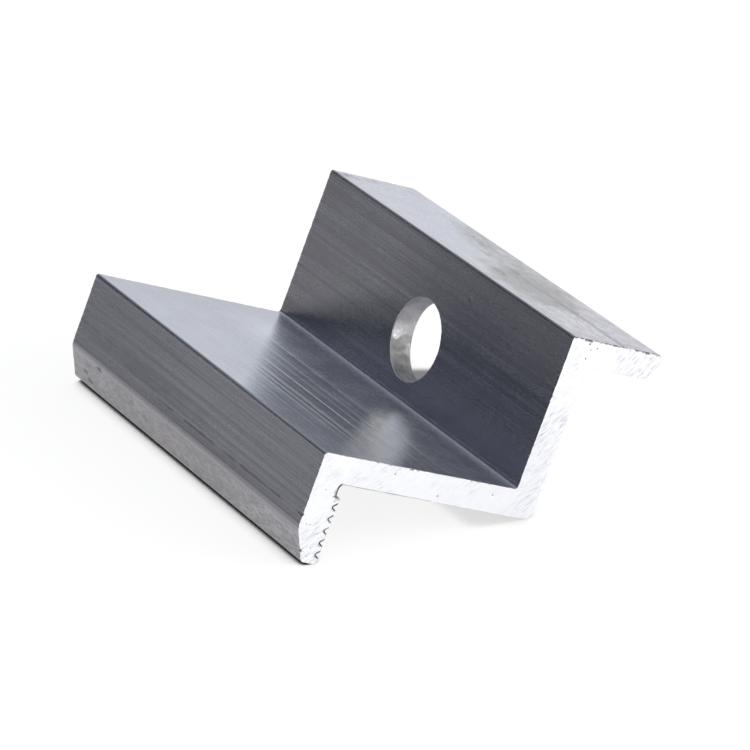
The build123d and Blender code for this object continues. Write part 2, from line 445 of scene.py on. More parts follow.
# =============================================================================
# One closed mesh: the lined faces, and a sawn face at each end
# =============================================================================
verts = [rings.reshape(-1, 3)]
faces, mats = [], []
idx = np.arange(ROWS * COUNT).reshape(ROWS, COUNT)
a, b = idx[:-1], np.roll(idx[:-1], -1, 1)
c2, d2 = np.roll(idx[1:], -1, 1), idx[1:]
quads = np.stack([a, b, c2, d2], -1).reshape(-1, 4)
faces += quads.tolist()
mats += [0] * len(quads)
# vertex darkness: torn spots and burr of the sawn ends, with painted shade along the near end's outline and on the
# channel's edges
dirt_and_painted_shade = np.zeros((ROWS, COUNT))
for j, y in enumerate(YS):
    near, far = max(0.0, 1 - y / 0.12), max(0.0, 1 - (LENGTH - y) / 0.12)
    dirt_and_painted_shade[j] = np.clip(np.clip(TORN_N * 14, 0, 1) + np.maximum(BURR_N, RIM), 0, 1) * near + np.clip(TORN_F * 14, 0, 1) * far
    dirt_and_painted_shade[j] = np.maximum(dirt_and_painted_shade[j], EDGE_DARK)
grime_and_painted_shade = [dirt_and_painted_shade.ravel()]
tones = [tone_rows.ravel()]
# map "run": across the section in u, along the length in v, both in mm
u0 = np.broadcast_to(ARC, (ROWS - 1, COUNT))
u1 = u0 + seg
v0 = np.broadcast_to(YS[:-1, None], (ROWS - 1, COUNT))
v1 = np.broadcast_to(YS[1:, None], (ROWS - 1, COUNT))
run_map = [np.stack([np.stack([u0, u1, u1, u0], -1), np.stack([v0, v0, v1, v1], -1)], -1).reshape(-1, 2)]


def add_cap(ring, at, sign, centre, seed, depth, pits):
    pts, tris = cap(centre, seed + 50, depth, pits)
    x, z = pts[COUNT:, 0], pts[COUNT:, 1]
    h = saw_relief(x, z, centre, seed, depth)
    ph, dark = pit_relief(x, z, pits)
    base = sum(len(v) for v in verts)
    verts.append(np.stack([x, at + sign * (h + ph), z], 1))
    grime_and_painted_shade.append(np.maximum(dark, edge_burr_and_shade(pts[COUNT:])) if ring == 0 else dark)
    tones.append(np.zeros(len(x)))
    new = np.concatenate([idx[ring], base + np.arange(len(x))])
    flat = []
    for t in tris:
        f = [int(new[k]) for k in t]
        p0, p1, p2 = (pts[k] for k in t)
        area = (p1[0] - p0[0]) * (p2[1] - p0[1]) - (p1[1] - p0[1]) * (p2[0] - p0[0])
        t = list(t)
        if (area > 0) != (sign > 0):
            f.reverse()
            t.reverse()
        faces.append(f)
        mats.append(1)
        flat.append(pts[t])
    run_map.append(np.concatenate(flat))


add_cap(0, 0.0, 1.0, SAW_NEAR, 3, 0.012, PITS)
add_cap(ROWS - 1, LENGTH, -1.0, SAW_FAR, 4, 0.012, [])

all_v = np.concatenate(verts)
all_g = np.concatenate(grime_and_painted_shade)
all_t = np.concatenate(tones)
mesh = bpy.data.meshes.new("solar_end_clamp")
mesh.from_pydata(to_row(all_v).tolist(), [], faces)
mesh.polygons.foreach_set("material_index", np.array(mats, np.int32))
uv = mesh.uv_layers.new(name="run")
uv.data.foreach_set("uv", (np.concatenate(run_map) * 0.01).astype(np.float32).ravel())
att = mesh.attributes.new("grime_and_painted_shade", "FLOAT", "POINT")
att.data.foreach_set("value", all_g.astype(np.float32))
att = mesh.attributes.new("line_tone_and_glint", "FLOAT", "POINT")
att.data.foreach_set("value", all_t.astype(np.float32))
mesh.update()
clamp = bpy.data.objects.new("solar_end_clamp", mesh)
bpy.context.scene.collection.objects.link(clamp)

# =============================================================================
# The bolt hole: a turned cutter, bore and both broken edges in one
# =============================================================================
HOLE_SIDES = 240


def round_noise(g, n, sides, width):
    """n rows of noise round a circle, in step from row to row."""
    w = g.normal(size=(n, sides))
    k = np.fft.rfftfreq(sides, d=2 * math.pi * HOLE_R / sides)
    out = np.fft.irfft(np.fft.rfft(w) * np.exp(-(k * width) ** 2 * 2.0), sides)
    for i in range(1, n):
        out[i] = 0.62 * out[i - 1] + 0.78 * out[i]
    return out / out.std()


def hole_cutter():
    g = np.random.default_rng(31)
    m = HOLE_SIDES
    prof = []                                  # depth, radius, roughness
    a0 = math.radians(25)
    tip = (BREAK_FRONT * (1 - math.cos(a0)), HOLE_R + BREAK_FRONT * (1 - math.sin(a0)))
    prof.append((tip[0] - 0.45, tip[1] + 0.45 / math.tan(a0), 0.0))
    for k in range(6):
        q = a0 + (math.pi / 2 - a0) * k / 5
        prof.append((BREAK_FRONT * (1 - math.cos(q)), HOLE_R + BREAK_FRONT * (1 - math.sin(q)), 0.3))
    depth = BREAK_FRONT + 0.10
    while depth < WEB_T - BREAK_BACK - 0.08:
        prof.append((depth, HOLE_R - g.uniform(0.0, 0.006), 1.0))
        depth += g.uniform(0.08, 0.13)
    prof += [(WEB_T - BREAK_BACK, HOLE_R, 0.3), (WEB_T + 1.2, HOLE_R + BREAK_BACK + 1.2, 0.0)]
    fine = round_noise(g, len(prof), m, 0.20)
    wide = round_noise(g, len(prof), m, 0.9)
    rag = round_noise(g, 1, m, 0.28)[0]
    v, f = [], []
    for i, (dep, r, rough) in enumerate(prof):
        for k in range(m):
            q = 2 * math.pi * k / m
            rr = r - rough * np.clip(0.007 + 0.0035 * fine[i, k] + 0.004 * wide[i, k], 0, 0.03)
            if 1 <= i <= 6:
                rr += 0.016 * rag[k] * (1 - (i - 1) / 5.0)
            v.append((WEB_FACE + dep, HOLE_Y + rr * math.cos(q), HOLE_Z + rr * math.sin(q)))
    for i in range(len(prof) - 1):
        for k in range(m):
            n = (k + 1) % m
            f.append((i * m + k, i * m + n, (i + 1) * m + n, (i + 1) * m + k))
    f.append(tuple(range(m - 1, -1, -1)))
    f.append(tuple((len(prof) - 1) * m + k for k in range(m)))
    return to_row(v), f


cv, cf = hole_cutter()
cut_mesh = bpy.data.meshes.new("hole_cutter")
cut_mesh.from_pydata(cv.tolist(), [], cf)
cut_mesh.polygons.foreach_set("material_index", np.full(len(cf), 2, np.int32))
cut_uv = []
for f in cf:
    for k, v in enumerate(f):
        if len(f) > 4:
            cut_uv += [0.0, 0.0]
        else:
            turn = (v % HOLE_SIDES) / HOLE_SIDES
            if k in (1, 2) and turn == 0:
                turn = 1.0
            cut_uv += [turn * 0.267, (v // HOLE_SIDES) * 0.0012]
cut_mesh.uv_layers.new(name="run").data.foreach_set("uv", cut_uv)
cut_mesh.update()
cutter = bpy.data.objects.new("hole_cutter", cut_mesh)
bpy.context.scene.collection.objects.link(cutter)


# =============================================================================
# Materials
# =============================================================================
class Tree:
    """Short calls for a node tree."""

    def __init__(self, tree):
        self.t, self.n = tree, tree.nodes

    def add(self, kind, **settings):
        node = self.n.new(kind)
        for k, v in settings.items():
            setattr(node, k, v)
        return node

    def link(self, a, b):
        self.t.links.new(a, b)

    def put(self, socket, value):
        if isinstance(value, bpy.types.NodeSocket):
            self.link(value, socket)
        else:
            socket.default_value = value

    def math(self, op, a, b=0.0, c=0.0, clamp=False):
        node = self.add("ShaderNodeMath", operation=op, use_clamp=clamp)
        for s, v in zip(node.inputs, (a, b, c)):
            self.put(s, v)
        return node.outputs[0]

    def mix(self, fac, a, b):
        node = self.add("ShaderNodeMix", data_type="RGBA")
        self.put(node.inputs[0], fac)
        self.put(node.inputs[6], a)
        self.put(node.inputs[7], b)
        return node.outputs[2]

    def remap(self, v, a, b, c=0.0, d=1.0, kind="SMOOTHSTEP"):
        node = self.add("ShaderNodeMapRange", interpolation_type=kind)
        self.put(node.inputs[0], v)
        for k, x in zip((1, 2, 3, 4), (a, b, c, d)):
            node.inputs[k].default_value = x
        return node.outputs[0]

    def noise(self, vec, scale, detail=2.0, rough=0.5, dist=0.0):
        node = self.add("ShaderNodeTexNoise")
        self.put(node.inputs["Vector"], vec)
        node.inputs["Scale"].default_value = scale
        node.inputs["Detail"].default_value = detail
        node.inputs["Roughness"].default_value = rough
        node.inputs["Distortion"].default_value = dist
        return node.outputs["Fac"]

    def scaled(self, vec, x, y, z):
        node = self.add("ShaderNodeVectorMath", operation="MULTIPLY")
        self.put(node.inputs[0], vec)
        node.inputs[1].default_value = (x, y, z)
        return node.outputs[0]


def new_material(name):
    m = bpy.data.materials.new(name)
    m.use_nodes = True
    t = Tree(m.node_tree)
    for n in list(t.n):
        t.n.remove(n)
    out = t.add("ShaderNodeOutputMaterial")
    bsdf = t.add("ShaderNodeBsdfPrincipled")
    t.link(bsdf.outputs[0], out.inputs[0])
    bsdf.inputs["Metallic"].default_value = 1.0
    return m, t, bsdf


def section_coordinates(t):
    """Object coordinates turned back to the section's axes, in mm."""
    co = t.add("ShaderNodeTexCoord")
    mp = t.add("ShaderNodeMapping", vector_type="POINT")
    t.link(co.outputs["Object"], mp.inputs["Vector"])
    mp.inputs["Scale"].default_value = (1000.0, 1000.0, 1000.0)
    mp.inputs["Rotation"].default_value = (0.0, -REST, 0.0)
    back = Matrix.Rotation(-REST, 3, "Y") @ Vector(SHIFT)
    mp.inputs["Location"].default_value = tuple(-back)
    return mp.outputs[0]


def split(t, p):
    sep = t.add("ShaderNodeSeparateXYZ")
    t.link(p, sep.inputs[0])
    return sep.outputs


def spot(t, xyz, at, size):
    """1 in a soft ellipsoid at a point of the section, 0 away from it."""
    total = None
    for v, a, r in zip(xyz, at, size):
        d = t.math("MULTIPLY", t.math("SUBTRACT", v, a), 1.0 / r)
        total = t.math("MULTIPLY", d, d) if total is None else t.math("MULTIPLY_ADD", d, d, total)
    return t.remap(total, 0.25, 1.0, 1.0, 0.0)


def most(t, *values):
    out = values[0]
    for v in values[1:]:
        out = t.math("MAXIMUM", out, v)
    return out


def mill_material():
    m, t, bsdf = new_material("mill_aluminium_extruded")
    p = section_coordinates(t)
    x, y, z = split(t, p)
    # tone of the die's lines, nearly constant along the length
    fine = t.noise(t.scaled(p, 1.0, 0.005, 1.0), 4.6, 2.0, 0.7)
    mid = t.noise(t.scaled(p, 1.0, 0.010, 1.0), 1.9, 2.0, 0.55)
    wide = t.noise(t.scaled(p, 1.0, 0.06, 1.0), 0.40, 2.0, 0.5)
    cloud = t.noise(p, 0.22, 3.0, 0.55)
    mottle = t.noise(p, 1.3, 4.0, 0.62)
    speck = t.noise(t.scaled(p, 1.0, 0.5, 1.0), 2.6, 3.0, 0.6)
    tone = t.math("ADD", t.math("MULTIPLY", fine, 0.62), t.math("ADD", t.math("MULTIPLY", mid, 0.28), t.math("MULTIPLY", wide, 0.10)))
    # the plate's channel face is smoother in tone; the lip's near part is busier
    on_plate = t.remap(t.math("ABSOLUTE", z), 0.05, 0.40, 1.0, 0.0)
    on_lip = t.math("MULTIPLY", t.remap(x, 0.08, 0.20, 1.0, 0.0), t.remap(y, 18.0, 30.0, 1.0, 0.0))
    busy = t.math("ADD", t.math("SUBTRACT", 1.25, t.math("MULTIPLY", on_plate, 0.90)), t.math("MULTIPLY", on_lip, 0.6))
    on_web = t.remap(t.math("ABSOLUTE", t.math("SUBTRACT", x, WEB_FACE)), 0.05, 0.2, 1.0, 0.0)
    busy = t.math("SUBTRACT", busy, t.math("MULTIPLY", on_web, t.remap(y, 28.0, 44.0, 0.0, 0.50)))
    tone = t.math("ADD", 0.5, t.math("MULTIPLY", t.math("SUBTRACT", tone, 0.5), busy))
    col = t.mix(t.remap(tone, 0.36, 0.64), (0.595, 0.595, 0.615, 1), (0.82, 0.825, 0.84, 1))
    rough = t.math("ADD", t.remap(fine, 0.3, 0.7, -0.018, 0.018), t.remap(cloud, 0.3, 0.7, 0.247, 0.279))
    # single lines of the plate's channel face: the pale ones are a painted glint along the scratches, the dark ones are
    # tone
    lt = t.add("ShaderNodeAttribute", attribute_name="line_tone_and_glint")
    painted_line_glint = t.math("MAXIMUM", lt.outputs["Fac"], 0.0)
    dark_line = t.math("MAXIMUM", t.math("MULTIPLY", lt.outputs["Fac"], -1.0), 0.0)
    # painted light and shade: the plate is painted paler towards the inside corner and darker along a diagonal streak,
    # and is darker by the lip; the web's near part is painted darker as shade
    corner = t.math("MULTIPLY", t.math("MULTIPLY", on_plate, t.remap(x, 11.5, 19.0)), t.remap(y, 38.0, 47.0, 1.0, 0.25))
    # painted shade: a diagonal streak across the plate is painted darker, and less pale by the corner
    streak_painted_shade = t.math("ABSOLUTE", t.math("SUBTRACT", x, t.math("MULTIPLY_ADD", y, 0.70, 6.6)))
    streak_painted_shade = t.math("MULTIPLY", t.math("MULTIPLY", t.remap(streak_painted_shade, 0.5, 2.3, 1.0, 0.0), t.remap(y, 4.5, 11.0)), t.remap(y, 19.0, 23.0, 1.0, 0.0))
    corner = t.math("MULTIPLY", corner, t.math("SUBTRACT", 1.0, t.math("MULTIPLY", streak_painted_shade, 0.55)))
    col = t.mix(t.math("MULTIPLY", corner, 0.88), col, (0.985, 0.985, 0.99, 1))
    col = t.mix(t.math("MULTIPLY", t.math("MULTIPLY", streak_painted_shade, on_plate), 0.36), col, (0.45, 0.45, 0.47, 1))
    by_lip = t.math("MULTIPLY", t.remap(x, 6.0, 15.0, 1.0, 0.0), t.remap(t.math("SUBTRACT", y, t.math("MULTIPLY", x, 1.5)), 4.0, 14.0, 1.0, 0.0))
    col = t.mix(t.math("MULTIPLY", t.math("MULTIPLY", by_lip, on_plate), 0.45), col, (0.50, 0.50, 0.52, 1))
    far_plate = t.math("MULTIPLY", on_plate, t.remap(y, 41.0, 50.0))
    col = t.mix(t.math("MULTIPLY", far_plate, 0.45), col, (0.66, 0.64, 0.625, 1))
    col = t.mix(t.math("MULTIPLY", painted_line_glint, 0.40), col, (0.97, 0.975, 0.99, 1))
    col = t.mix(t.math("MULTIPLY", dark_line, 0.38), col, (0.46, 0.46, 0.48, 1))
    # painted shade: the plate is painted darker right at the inside corner
    col = t.mix(t.math("MULTIPLY", t.math("MULTIPLY", on_plate, t.remap(x, 22.3, 23.0)), 0.80), col, (0.66, 0.66, 0.68, 1))
    # painted shade: the web's near part is painted darker, except in a band about 8.6 mm up
    web_painted_shade = t.math("MULTIPLY", t.math("MULTIPLY", on_web, t.remap(y, 24.0, 36.0, 1.0, 0.0)),
                  t.remap(t.math("ABSOLUTE", t.math("SUBTRACT", z, 8.6)), 0.8, 3.2, 0.0, 1.0))
    col = t.mix(t.math("MULTIPLY", web_painted_shade, 0.62), col, (0.50, 0.50, 0.535, 1))
    # painted shade: the web is painted darker just above the inside corner
    col = t.mix(t.math("MULTIPLY", t.math("MULTIPLY", on_web, t.remap(z, 0.4, 3.2, 1.0, 0.0)), 0.50), col, (0.42, 0.42, 0.45, 1))
    # painted shade: a slanting band of the web, below about 9 mm up, is painted darker
    slant_painted_shade = t.math("MULTIPLY_ADD", z, 2.2, y)
    slant_painted_shade = t.math("MULTIPLY", t.math("MULTIPLY", t.remap(slant_painted_shade, 38.0, 47.0), t.remap(slant_painted_shade, 48.5, 54.5, 1.0, 0.0)), t.remap(z, 8.3, 10.3, 1.0, 0.0))
    col = t.mix(t.math("MULTIPLY", t.math("MULTIPLY", on_web, slant_painted_shade), 0.50), col, (0.42, 0.42, 0.45, 1))
    # painted highlight: a pale line along the inside corner's rounding, on the web's side
    fillet_painted_highlight = t.remap(t.math("ABSOLUTE", t.math("SUBTRACT", z, 0.30)), 0.10, 0.34, 1.0, 0.0)
    col = t.mix(t.math("MULTIPLY", t.math("MULTIPLY", fillet_painted_highlight, t.remap(x, 22.9, 23.1)), 0.75), col, (0.93, 0.93, 0.95, 1))

    # handling patina on the foot's outer face: a patch with a tail along the tip
    lump = t.noise(t.scaled(p, 1.0, 0.55, 1.0), 0.42, 4.0, 0.62, 0.4)
    blot = t.noise(t.scaled(p, 1.0, 0.45, 1.0), 1.35, 4.0, 0.70, 0.5)
    outer = t.remap(z, 16.2, 16.35)
    grain = t.noise(t.scaled(p, 1.0, 0.7, 1.0), 3.6, 3.0, 0.6)
    col = t.mix(t.math("MULTIPLY", outer, 0.70), col, (0.955, 0.94, 0.975, 1))
    col = t.mix(t.math("MULTIPLY", outer, t.remap(grain, 0.38, 0.62, 0.30, 0.0)), col, (0.48, 0.475, 0.48, 1))

    def ellipse(cx, cy, rx, ry):
        ex = t.math("MULTIPLY", t.math("SUBTRACT", x, cx), 1 / rx)
        ey = t.math("MULTIPLY", t.math("SUBTRACT", y, cy), 1 / ry)
        return t.math("SQRT", t.math("MULTIPLY_ADD", ex, ex, t.math("MULTIPLY", ey, ey)))

    wander = t.math("MULTIPLY", t.math("SUBTRACT", lump, 0.5), 1.1)
    patina = t.math("MULTIPLY", t.remap(t.math("ADD", ellipse(28.9, 16.6, 4.9, 8.0), wander), 1.12, 0.55), outer)
    tail = t.math("MULTIPLY", t.remap(t.math("ADD", ellipse(33.6, 26.0, 4.6, 12.5), wander), 1.15, 0.65), outer)
    any_patina = t.math("MAXIMUM", patina, tail)
    smear = t.math("MULTIPLY", any_patina, t.remap(blot, 0.44, 0.60))
    near_mottle = t.math("MULTIPLY", outer, t.math("MULTIPLY", t.remap(y, 9.0, 15.0, 1.0, 0.0), t.remap(blot, 0.42, 0.60)))
    end_mottle = t.math("MULTIPLY", outer, t.math("MULTIPLY", t.remap(y, 44.0, 49.0), t.remap(blot, 0.46, 0.62)))
    col = t.mix(t.math("MULTIPLY", t.math("MULTIPLY", outer, t.remap(y, 17.0, 27.0, 1.0, 0.0)), 0.75), col, (0.91, 0.87, 0.84, 1))
    col = t.mix(t.math("MULTIPLY", tail, t.remap(x, 32.0, 33.6, 0.82, 0.50)), col, (0.80, 0.765, 0.705, 1))
    col = t.mix(t.math("MULTIPLY", patina, 0.90), col, (0.635, 0.605, 0.56, 1))
    root_strip = t.math("MULTIPLY", outer, t.math("MULTIPLY", t.remap(x, 23.7, 25.1, 1.0, 0.0), t.remap(y, 8.0, 44.0, 1.0, 0.25)))
    col = t.mix(t.math("MULTIPLY", root_strip, 0.36), col, (0.50, 0.49, 0.49, 1))
    col = t.mix(t.math("MULTIPLY", smear, 0.42), col, (0.40, 0.385, 0.36, 1))
    col = t.mix(t.math("MULTIPLY", near_mottle, 0.46), col, (0.48, 0.47, 0.47, 1))
    col = t.mix(t.math("MULTIPLY", end_mottle, 0.42), col, (0.46, 0.44, 0.47, 1))
    dark = most(
        t, spot(t, (x, y, z), (29.60, 21.6, 16.45), (0.55, 1.4, 0.4)),
        spot(t, (x, y, z), (27.2, 20.6, 16.45), (0.7, 1.6, 0.4)),
        spot(t, (x, y, z), (29.5, 27.0, 16.45), (0.5, 1.4, 0.4)),
        spot(t, (x, y, z), (31.6, 32.8, 16.45), (0.9, 2.2, 0.4)),
        spot(t, (x, y, z), (24.4, 48.6, 16.45), (1.6, 1.3, 0.4)))
    dark = t.math("MULTIPLY", dark, t.remap(blot, 0.35, 0.60, 0.25, 1.0))
    col = t.mix(t.math("MULTIPLY", dark, 0.34), col, (0.20, 0.19, 0.18, 1))
    # one scored line on it, strongest by the near end
    score = t.math("ABSOLUTE", t.math("SUBTRACT", x, t.math("ADD", 29.66, t.math("MULTIPLY", y, 0.004))))
    score = t.math("MULTIPLY", t.remap(score, 0.10, 0.48, 1.0, 0.0), t.math("MULTIPLY", outer, t.remap(y, 7.0, 28.0, 1.0, 0.0)))
    col = t.mix(t.math("MULTIPLY", score, 0.50), col, (0.25, 0.245, 0.24, 1))
    rough = t.math("ADD", rough, t.math("MULTIPLY", any_patina, 0.05))

    # the lip's outer face is a little darker towards the far end
    far_lip = t.math("MULTIPLY", t.remap(x, 0.08, 0.20, 1.0, 0.0), t.remap(y, 14.0, 48.0, -0.5, 1.0))
    col = t.mix(t.math("MAXIMUM", t.math("MULTIPLY", far_lip, 0.20), 0.0), col, (0.42, 0.42, 0.44, 1))
    col = t.mix(t.math("MAXIMUM", t.math("MULTIPLY", far_lip, -0.36), 0.0), col, (0.95, 0.95, 0.96, 1))

    # a broken dark line along the lip, and a dull bluish band towards the far end
    outer_lip = t.math("MULTIPLY", t.remap(x, 0.04, 0.12, 1.0, 0.0), t.remap(z, -0.8, -1.2))
    low_line = t.remap(t.math("ABSOLUTE", t.math("ADD", z, t.math("ADD", 6.68, t.math("MULTIPLY", y, 0.002)))), 0.05, 0.20, 1.0, 0.0)
    broken = t.math("MULTIPLY", t.remap(t.noise(t.scaled(p, 0.1, 1.0, 0.1), 0.16, 2.0, 0.5), 0.42, 0.50), t.remap(y, 26.0, 34.0, 1.0, 0.15))
    low_line = t.math("MULTIPLY", t.math("MULTIPLY", low_line, broken), outer_lip)
    col = t.mix(t.math("MULTIPLY", low_line, 0.50), col, (0.13, 0.13, 0.15, 1))
    band = t.math("MULTIPLY", t.remap(t.math("ABSOLUTE", t.math("ADD", z, 5.7)), 0.5, 1.0, 1.0, 0.0), t.remap(y, 17.0, 30.0))
    band = t.math("MULTIPLY", t.math("MULTIPLY", band, t.remap(lump, 0.38, 0.56, 0.35, 1.0)), outer_lip)
    col = t.mix(t.math("MULTIPLY", band, 0.38), col, (0.42, 0.45, 0.49, 1))

    low_strip = t.math("MULTIPLY", outer_lip, t.remap(z, -6.9, -7.5))
    col = t.mix(t.math("MULTIPLY", low_strip, 0.34), col, (0.42, 0.42, 0.44, 1))

    # the lead-in slope is worn pale and dull, with a few small pits
    low = t.math("MULTIPLY", t.remap(z, -8.15, -8.75, 0.0, 1.0), t.remap(x, 2.0, 2.3, 1.0, 0.0))
    streaky = t.noise(t.scaled(p, 1.0, 0.24, 1.0), 4.4, 4.0, 0.72)
    blotches = t.noise(t.scaled(p, 1.0, 0.30, 1.0), 1.1, 3.0, 0.6)
    streaky = t.math("ADD", t.math("MULTIPLY", streaky, 0.68), t.math("MULTIPLY", blotches, 0.32))
    worn = t.math("MULTIPLY", low, t.remap(streaky, 0.44, 0.56))
    col = t.mix(low, col, t.mix(t.remap(y, 8.0, 16.0), (0.96, 0.96, 0.965, 1), (0.81, 0.805, 0.80, 1)))
    col = t.mix(t.math("MULTIPLY", worn, 0.72), col, (0.57, 0.565, 0.575, 1))
    rough = t.math("ADD", rough, t.math("MULTIPLY", low, t.remap(mottle, 0.3, 0.7, 0.02, 0.07)))
    pits = most(
        t, spot(t, (x, y, z), (0.20, 43.7, -8.42), (0.9, 0.85, 0.30)),
        spot(t, (x, y, z), (0.93, 47.1, -9.86), (0.9, 0.70, 0.28)),
        spot(t, (x, y, z), (1.27, 46.2, -10.50), (0.9, 0.85, 0.34)),
        t.math("MULTIPLY", spot(t, (x, y, z), (0.46, 46.3, -8.93), (0.9, 0.80, 0.30)), 0.6),
        t.math("MULTIPLY", spot(t, (x, y, z), (0.84, 33.3, -9.68), (0.9, 0.75, 0.30)), 0.45),
        t.math("MULTIPLY", spot(t, (x, y, z), (0.56, 36.2, -9.12), (0.9, 0.75, 0.30)), 0.40),
        spot(t, (x, y, z), (WEB_FACE, 18.35, 13.33), (0.5, 0.34, 0.34)))
    pits = t.math("MULTIPLY", pits, t.remap(t.noise(p, 3.4, 3.0, 0.7), 0.40, 0.54, 0.10, 1.0))
    col = t.mix(t.math("MULTIPLY", pits, 0.70), col, (0.14, 0.14, 0.14, 1))

    # vertex darkness: torn spots and burr, and painted shade along the near end's outline and on the channel's edges,
    # drawn near black
    g = t.add("ShaderNodeAttribute", attribute_name="grime_and_painted_shade")
    col = t.mix(g.outputs["Fac"], col, (0.03, 0.03, 0.03, 1))
    t.link(col, bsdf.inputs["Base Color"])
    t.link(rough, bsdf.inputs["Roughness"])
    bsdf.inputs["Anisotropic"].default_value = 0.93
    bsdf.inputs["Anisotropic Rotation"].default_value = 0.0
    tan = t.add("ShaderNodeTangent", direction_type="UV_MAP", uv_map="run")
    t.link(tan.outputs[0], bsdf.inputs["Tangent"])
    bump = t.add("ShaderNodeBump")
    bump.inputs["Strength"].default_value = 0.5
    bump.inputs["Distance"].default_value = 0.00003
    t.link(t.math("SUBTRACT", t.math("MULTIPLY", t.math("MULTIPLY", mottle, low), 0.6), pits), bump.inputs["Height"])
    t.link(bump.outputs[0], bsdf.inputs["Normal"])
    return m


def sawn_material():
    m, t, bsdf = new_material("mill_aluminium_sawn")
    p = section_coordinates(t)
    x, y, z = split(t, p)
    dx = t.math("SUBTRACT", x, SAW_NEAR[0])
    dz = t.math("SUBTRACT", z, SAW_NEAR[1])
    rad = t.math("SQRT", t.math("ADD", t.math("MULTIPLY", dx, dx), t.math("MULTIPLY", dz, dz)))
    ang = t.math("MULTIPLY", t.math("ARCTAN2", dz, dx), 10.0)
    arc = t.add("ShaderNodeCombineXYZ")
    t.link(rad, arc.inputs[0]); t.link(ang, arc.inputs[1])
    fine = t.noise(arc.outputs[0], 11.0, 3.0, 0.75)
    mid = t.noise(arc.outputs[0], 4.6, 3.0, 0.65)
    # marks show most over the foot's tip, the lower web and the lip's tip
    patch = most(
        t, spot(t, (x, t.math("MULTIPLY", y, 0.0), z), (32.6, 0.0, 15.1), (4.2, 1.0, 3.0)),
        t.math("MULTIPLY", spot(t, (x, t.math("MULTIPLY", y, 0.0), z), (24.6, 0.0, 4.6), (3.6, 1.0, 6.5)), 0.9),
        t.math("MULTIPLY", spot(t, (x, t.math("MULTIPLY", y, 0.0), z), (2.4, 0.0, -9.6), (2.6, 1.0, 3.6)), 1.0))
    patch = t.math("ADD", t.math("MULTIPLY", patch, 0.75), t.remap(t.noise(p, 0.20, 2.0, 0.5), 0.44, 0.62, 0.0, 0.45), clamp=True)
    blotch = t.noise(p, 0.45, 3.0, 0.6)
    grain = t.noise(p, 9.0, 2.0, 0.5)
    k = t.math("ADD", t.math("MULTIPLY", fine, 0.62), t.math("MULTIPLY", mid, 0.38))
    mark = t.math("MULTIPLY", t.remap(k, 0.40, 0.52, 1.0, 0.0), t.math("ADD", 0.12, t.math("MULTIPLY", patch, 0.88)))
    mark = t.math("MULTIPLY", mark, t.remap(blotch, 0.36, 0.58, 0.45, 1.0))
    by_tip = spot(t, (x, t.math("MULTIPLY", y, 0.0), z), (32.9, 0.0, 15.1), (4.0, 1.0, 3.2))
    col = t.mix(mark, (0.97, 0.97, 0.975, 1), t.mix(by_tip, (0.60, 0.595, 0.655, 1), (0.52, 0.515, 0.58, 1)))
    # vertex darkness: pits, torn spots and burr, and painted shade along the near end's outline, drawn near black
    g = t.add("ShaderNodeAttribute", attribute_name="grime_and_painted_shade")
    col = t.mix(g.outputs["Fac"], col, (0.016, 0.015, 0.014, 1))
    t.link(col, bsdf.inputs["Base Color"])
    t.link(t.math("ADD", t.remap(blotch, 0.3, 0.7, 0.66, 0.74), t.remap(grain, 0.3, 0.7, -0.03, 0.03)), bsdf.inputs["Roughness"])
    bump = t.add("ShaderNodeBump")
    bump.inputs["Strength"].default_value = 0.5
    bump.inputs["Distance"].default_value = 0.00002
    t.link(t.math("ADD", k, t.math("MULTIPLY", grain, 0.25)), bump.inputs["Height"])
    t.link(bump.outputs[0], bsdf.inputs["Normal"])
    return m


def bore_material():
    m, t, bsdf = new_material("mill_aluminium_drilled")
    p = section_coordinates(t)
    ring = t.noise(t.scaled(p, 1.0, 0.10, 0.10), 6.0, 3.0, 0.6)
    patch = t.noise(t.scaled(p, 0.8, 1.0, 1.0), 0.7, 4.0, 0.6)
    speck = t.noise(p, 3.2, 2.0, 0.6)
    tone = t.math("ADD", t.math("MULTIPLY", patch, 0.72), t.math("ADD", t.math("MULTIPLY", ring, 0.13), t.math("MULTIPLY", speck, 0.15)))
    col = t.mix(t.remap(tone, 0.36, 0.64), (0.125, 0.123, 0.121, 1), (0.215, 0.212, 0.209, 1))
    x, y, z = split(t, p)
    # painted light and shade over the bore's height: dark just below the middle, a little paler at the bottom, much
    # paler above the middle where less light comes in, mid grey at the top
    paler = t.mix(t.remap(tone, 0.38, 0.62), (0.24, 0.236, 0.231, 1), (0.37, 0.364, 0.356, 1))
    col = t.mix(t.remap(z, 2.6, 4.6, 0.9, 0.0), col, paler)
    upper = t.mix(t.remap(tone, 0.38, 0.62), (0.66, 0.655, 0.65, 1), (0.92, 0.91, 0.905, 1))
    col = t.mix(t.remap(z, 4.9, 6.6, 0.0, 0.92), col, upper)
    col = t.mix(t.remap(z, 8.8, 9.9, 0.0, 0.60), col, (0.52, 0.52, 0.535, 1))
    # painted highlight: a pale spot on the bore's far wall
    shine = spot(t, (x, y, z), (23.85, 29.3, 6.1), (0.9, 1.2, 1.25))
    shine = t.math("MULTIPLY", shine, t.remap(speck, 0.38, 0.58, 0.35, 0.75))
    col = t.mix(shine, col, (0.90, 0.895, 0.91, 1))
    # painted highlight: the broken edge on the channel side is painted bright
    rim = t.remap(x, WEB_FACE + 0.07, WEB_FACE + 0.17, 1.0, 0.0)
    col = t.mix(t.math("MULTIPLY", rim, 0.72), col, (0.86, 0.86, 0.88, 1))
    t.link(col, bsdf.inputs["Base Color"])
    t.link(t.remap(patch, 0.3, 0.7, 0.58, 0.44), bsdf.inputs["Roughness"])
    bump = t.add("ShaderNodeBump")
    bump.inputs["Strength"].default_value = 0.6
    bump.inputs["Distance"].default_value = 0.00006
    t.link(tone, bump.inputs["Height"])
    t.link(bump.outputs[0], bsdf.inputs["Normal"])
    return m


